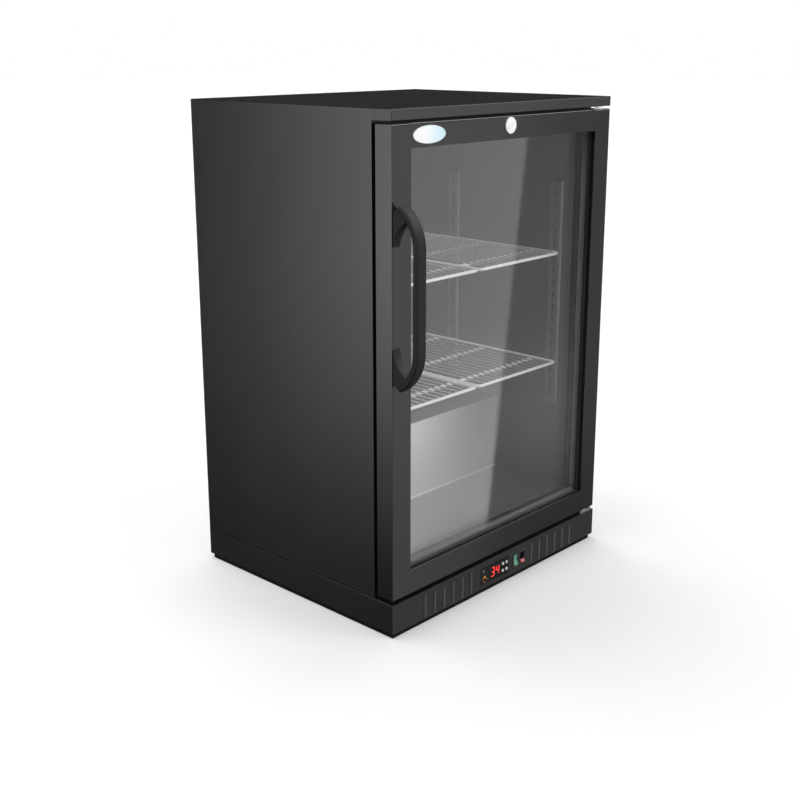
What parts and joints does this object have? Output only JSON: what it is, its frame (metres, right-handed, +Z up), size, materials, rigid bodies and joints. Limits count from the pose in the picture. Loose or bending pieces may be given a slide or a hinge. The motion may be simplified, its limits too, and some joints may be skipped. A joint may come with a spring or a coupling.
{
  "type": "under counter fridge",
  "caption": "Upright black under-counter bottle cooler with a hinged glass door, bow handle, wire shelves, aluminium lining and a machine bay behind a step at the rear.",
  "frame": {"origin": "centre of the footprint on the floor, taken over the whole object with its handle and rear cover", "axes": "+X to the hinge side, -Y to the front where the door is, +Z up"},
  "size_m": [0.6, 0.584, 0.894],
  "materials": {
    "black_powder_coat": "fine-textured satin powder coat",
    "tray_black": "flat black primer",
    "standard_steel": "bright rolled strip",
    "door_frame_black": "satin black",
    "kick_plastic": "moulded, satin",
    "handle_plastic": "moulded, satin",
    "foam": "rigid foam",
    "liner_aluminium": "fine stucco, satin",
    "wall_lining": "grey lacquered sheet",
    "shelf_chrome": "bright plated wire",
    "zinc_steel": "bright zinc",
    "condenser_fins": "fins",
    "fan_plastic": "moulded",
    "lamp_diffuser": "frosted",
    "rubber": "matte",
    "control_plastic": "moulded",
    "display_film": "smoked gloss",
    "white_key": "satin",
    "green_rocker": "translucent gloss",
    "red_rocker": "translucent gloss",
    "compressor_paint": "gloss black",
    "copper": "drawn copper",
    "glass": "clear float glass",
    "spacer_bar": "dark anodised",
    "nylon": "moulded nylon",
    "badge_enamel": "domed enamel, plain",
    "lock_chrome": "polished"
  },
  "bodies": {
    "cabinet": {"worktop": "black_powder_coat", "side_panel_left": "black_powder_coat", "side_panel_right": "black_powder_coat", "back_panel": "black_powder_coat", "face_rails": "black_powder_coat", "side_insulation": "foam", "top_insulation": "foam", "back_insulation": "foam", "floor_insulation": "foam", "step_insulation": "foam", "side_liners": "wall_lining", "liner_back": "wall_lining", "liner_ceiling": "wall_lining", "liner_floor": "liner_aluminium", "step_liner": "liner_aluminium", "shelf_standards": "standard_steel", "shelf_clips": "shelf_chrome", "upper_shelf": "shelf_chrome", "lower_shelf": "shelf_chrome", "evaporator_cover": "wall_lining", "evaporator_coil": "liner_aluminium", "evaporator_fan_motor": "fan_plastic", "interior_lamp": "lamp_diffuser", "base_tray": "tray_black", "base_sides": "black_powder_coat", "kick_plate": "kick_plastic", "rubber_pads": "rubber", "controller_housing": "control_plastic", "controller_window": "display_film", "switch_bezels": "control_plastic", "compressor": "compressor_paint", "compressor_mounts": "rubber", "condenser_coil": "condenser_fins", "condenser_fan_motor": "fan_plastic", "filter_drier": "copper", "condensate_tray": "fan_plastic", "rear_cover": "black_powder_coat", "cord_inlet": "rubber", "hinge_brackets": "zinc_steel"},
    "door": {"stile_left": "door_frame_black", "stile_right": "door_frame_black", "rail_top": "door_frame_black", "rail_bottom": "door_frame_black", "glass_panes": "glass", "pane_spacer": "spacer_bar", "door_seal": "rubber", "hinge_bushes": "nylon", "door_handle": "handle_plastic", "handle_screws": "zinc_steel", "badge": "badge_enamel", "lock_case": "lock_chrome"},
    "lock": {"lock_barrel": "lock_chrome"},
    "power_switch": {"power_rocker": "green_rocker"},
    "light_switch": {"light_rocker": "red_rocker"},
    "set_key": {"set_button": "white_key"},
    "defrost_key": {"defrost_button": "white_key"},
    "up_key": {"up_button": "white_key"},
    "down_key": {"down_button": "white_key"},
    "evaporator_rotor": {"evaporator_fan": "fan_plastic"},
    "condenser_rotor": {"condenser_fan": "zinc_steel"}
  },
  "joints": [
    {"name": "door_hinge", "type": "hinge", "parent": "cabinet", "child": "door", "pos_m": [0.286, -0.218, 0.465], "axis": [0, 0, 1], "range_deg": [0, 110]},
    {"name": "lock_turn", "type": "hinge", "parent": "door", "child": "lock", "pos_m": [-0.005, -0.236, 0.855], "axis": [0, -1, 0], "range_deg": [0, 90]},
    {"name": "power_rock", "type": "hinge", "parent": "cabinet", "child": "power_switch", "pos_m": [0.0415, -0.23, 0.033], "axis": [1, 0, 0], "range_deg": [0, 18]},
    {"name": "light_rock", "type": "hinge", "parent": "cabinet", "child": "light_switch", "pos_m": [0.062, -0.23, 0.033], "axis": [1, 0, 0], "range_deg": [0, 18]},
    {"name": "set_press", "type": "slide", "parent": "cabinet", "child": "set_key", "axis": [0, 1, 0], "range_m": [0, 0.001], "stiffness_N_per_m": 200},
    {"name": "defrost_press", "type": "slide", "parent": "cabinet", "child": "defrost_key", "axis": [0, 1, 0], "range_m": [0, 0.001], "stiffness_N_per_m": 200},
    {"name": "up_press", "type": "slide", "parent": "cabinet", "child": "up_key", "axis": [0, 1, 0], "range_m": [0, 0.001], "stiffness_N_per_m": 200},
    {"name": "down_press", "type": "slide", "parent": "cabinet", "child": "down_key", "axis": [0, 1, 0], "range_m": [0, 0.001], "stiffness_N_per_m": 200},
    {"name": "evaporator_spin", "type": "hinge", "parent": "cabinet", "child": "evaporator_rotor", "pos_m": [0, 0.187, 0.787], "axis": [0, 1, 0], "continuous": true},
    {"name": "condenser_spin", "type": "hinge", "parent": "cabinet", "child": "condenser_rotor", "pos_m": [-0.162, 0.148, 0.114], "axis": [1, 0, 0], "continuous": true}
  ]
}
